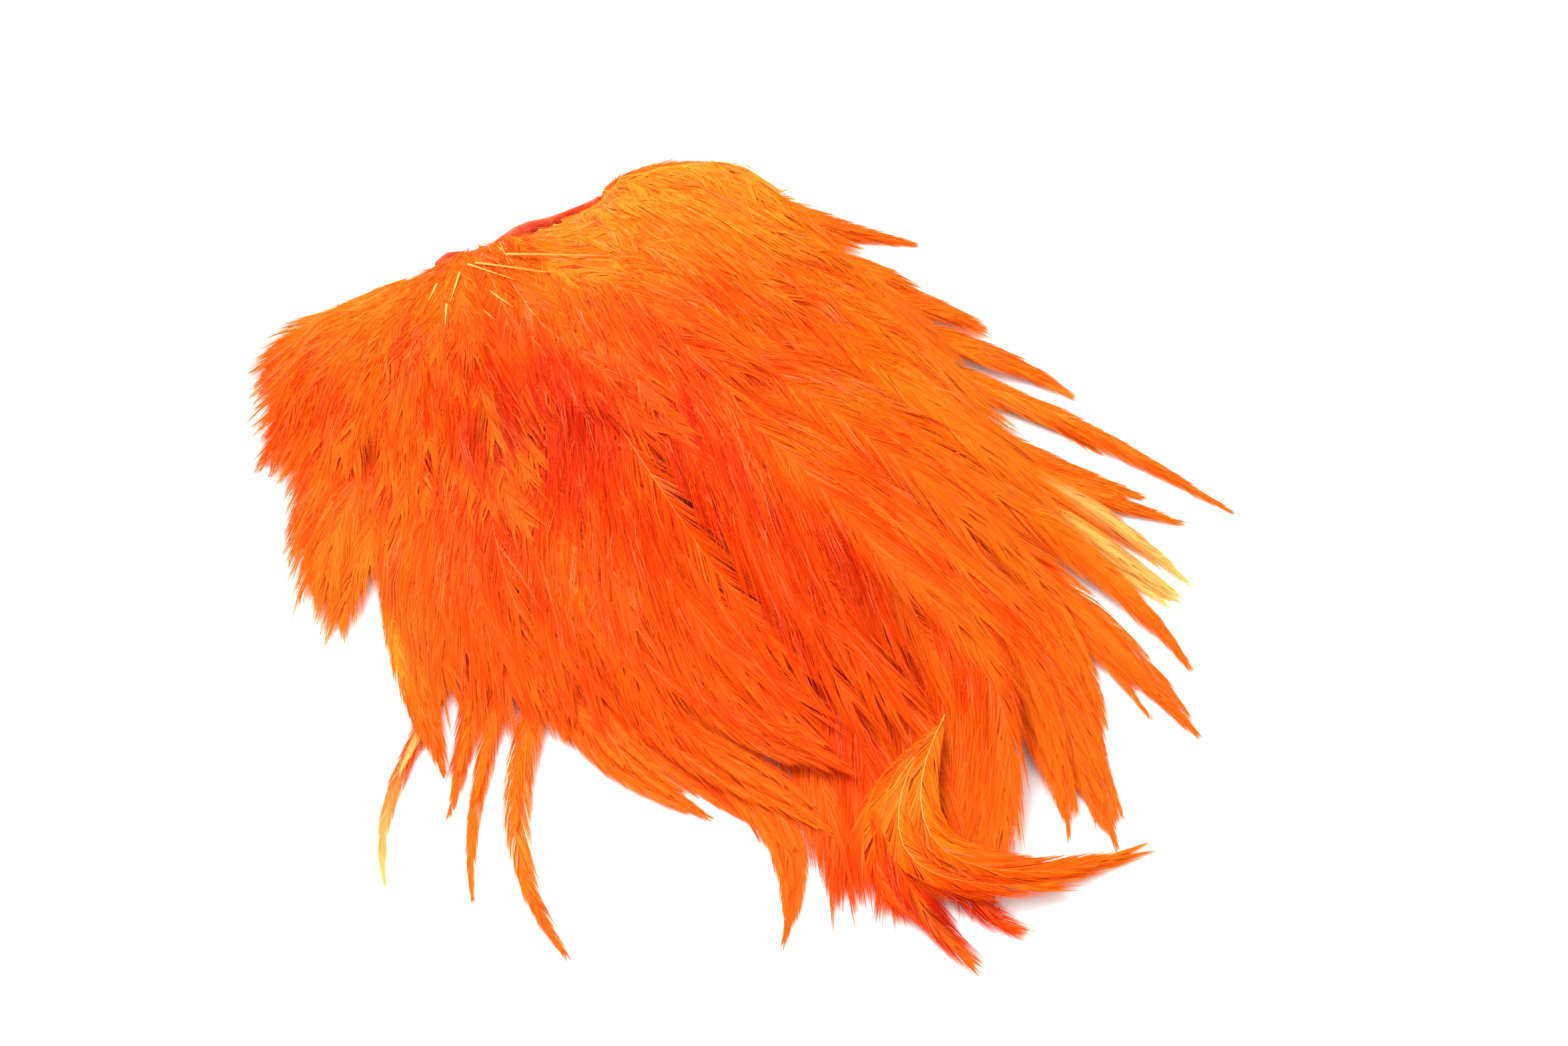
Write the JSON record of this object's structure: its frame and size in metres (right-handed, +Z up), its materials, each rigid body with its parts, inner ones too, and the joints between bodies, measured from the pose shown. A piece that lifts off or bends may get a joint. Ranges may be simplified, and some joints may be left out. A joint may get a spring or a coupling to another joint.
{
  "type": "rooster saddle hackle",
  "caption": "Patch of dried rooster saddle skin with long dyed orange feathers fanning out over it, lying flat on a table.",
  "frame": {"origin": "middle of the skin's flat underside, on the table", "axes": "+X towards the tips of the tail-side feathers, +Y towards the skin's curled head-side edge, +Z up from the table"},
  "size_m": [0.2596, 0.2521, 0.0313],
  "materials": {
    "orange_feather": "soft barbs with a satin sheen",
    "golden_feather": "soft barbs with a satin sheen",
    "red_orange_feather": "soft barbs with a satin sheen",
    "pale_feather": "soft barbs with a satin sheen",
    "dried_skin": "dry and wrinkled"
  },
  "bodies": {
    "root": {"bunch_curled_feather": "golden_feather", "bunch_lock_1": "red_orange_feather", "bunch_lock_2": "red_orange_feather", "bunch_lock_3": "red_orange_feather", "bunch_lock_4": "orange_feather", "bunch_tip_1": "orange_feather", "bunch_tip_2": "red_orange_feather", "curved_lower_feather": "golden_feather", "golden_lock": "golden_feather", "head_lock_1": "golden_feather", "head_lock_2": "orange_feather", "head_lock_3": "orange_feather", "head_lock_4": "orange_feather", "head_lock_5": "golden_feather", "head_lock_6": "golden_feather", "head_lock_7": "golden_feather", "head_lock_8": "golden_feather", "head_lock_9": "golden_feather", "left_lock_1": "orange_feather", "left_lock_2": "orange_feather", "left_lock_3": "orange_feather", "left_lock_4": "orange_feather", "left_lock_5": "orange_feather", "left_lock_6": "golden_feather", "lower_lock": "red_orange_feather", "middle_lock_1": "red_orange_feather", "middle_lock_10": "orange_feather", "middle_lock_2": "red_orange_feather", "middle_lock_3": "red_orange_feather", "middle_lock_4": "red_orange_feather", "middle_lock_5": "red_orange_feather", "middle_lock_6": "orange_feather", "middle_lock_7": "orange_feather", "middle_lock_8": "orange_feather", "middle_lock_9": "orange_feather", "pale_feather": "pale_feather", "right_lock_1": "orange_feather", "right_lock_2": "orange_feather", "right_lock_3": "orange_feather", "right_lock_4": "orange_feather", "right_lock_5": "orange_feather", "right_lock_6": "orange_feather", "right_lock_7": "orange_feather", "right_pale_lock_1": "pale_feather", "right_pale_lock_2": "pale_feather", "short_lower_feather": "orange_feather", "skin": "dried_skin", "sweeping_lock_1": "orange_feather", "sweeping_lock_2": "orange_feather", "sweeping_lock_3": "orange_feather", "sweeping_lock_4": "red_orange_feather", "thin_lower_feather": "orange_feather", "top_edge_lock_1": "orange_feather", "top_edge_lock_2": "golden_feather", "upper_right_feather": "orange_feather", "upper_right_lock_1": "orange_feather", "upper_right_lock_2": "orange_feather", "upper_right_lock_3": "orange_feather", "upper_right_lock_4": "orange_feather", "upper_right_wisp": "orange_feather"}
  },
  "joints": []
}
